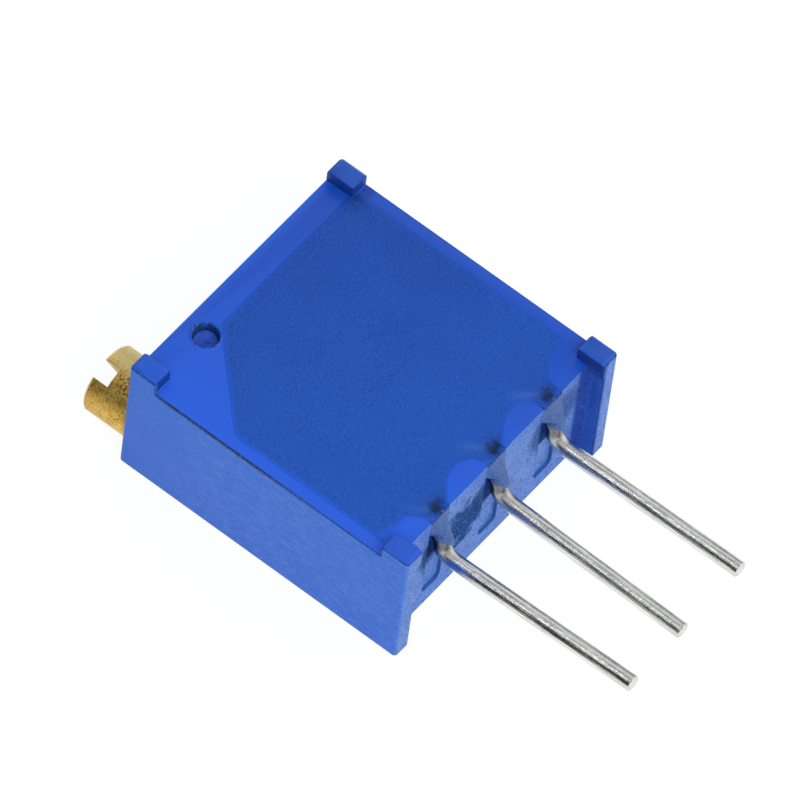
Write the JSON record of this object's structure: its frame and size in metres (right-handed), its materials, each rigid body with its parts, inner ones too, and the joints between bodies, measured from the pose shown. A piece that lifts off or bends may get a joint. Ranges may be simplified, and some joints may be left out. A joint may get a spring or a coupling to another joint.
{
  "type": "trimmer potentiometer",
  "caption": "Square moulded trimmer potentiometer with a slotted adjusting screw at one side, a worm-driven wiper inside, a potted back and in-line wire pins.",
  "frame": {"origin": "centre of the front face's rectangle, on the plane that the loose part lies on", "axes": "+X across the pins away from the screw's side, +Y towards the screw head, +Z out of the potted back"},
  "size_m": [0.0096, 0.0181, 0.0048],
  "materials": {
    "case_blue": "satin moulded thermoplastic",
    "potting_blue": "matte cast epoxy with a fine grain",
    "peg_blue": "moulded peg",
    "screw_brass": "turned, slightly dull",
    "seal_rubber": "smooth",
    "wheel_nylon": "natural nylon",
    "spring_alloy": "bright spring sheet",
    "alumina": "as fired",
    "cermet": "printed and fired, dull",
    "silver_print": "printed and fired",
    "tinned_wire": "tinned, with drawn streaks",
    "solder": "smooth"
  },
  "bodies": {
    "case": {"housing": "case_blue", "potting": "potting_blue", "retaining_peg": "peg_blue", "ceramic_plate": "alumina", "resistive_track": "cermet", "track_end_1": "silver_print", "track_end_3": "silver_print", "collector": "silver_print", "back_land_1": "silver_print", "back_land_2": "silver_print", "back_land_3": "silver_print", "pin_1": "tinned_wire", "pin_2": "tinned_wire", "pin_3": "tinned_wire", "solder_1": "solder", "solder_2": "solder", "solder_3": "solder"},
    "screw": {"adjusting_screw": "screw_brass", "screw_seal": "seal_rubber"},
    "wheel": {"worm_wheel": "wheel_nylon", "wiper": "spring_alloy"}
  },
  "joints": [
    {"name": "screw_turn", "type": "hinge", "parent": "case", "child": "screw", "pos_m": [-0.00349, 0, 0.00127], "axis": [0, 1, 0], "range_deg": [-4500, 4500]},
    {"name": "wheel_turn", "type": "hinge", "parent": "case", "child": "wheel", "pos_m": [0.00047, 0.00011, 0.00127], "axis": [0, 0, 1], "range_deg": [-136.5, 136.5]}
  ],
  "couplings": [
    {"joint": "wheel_turn", "follows": "screw_turn", "ratio": 0.030303}
  ]
}
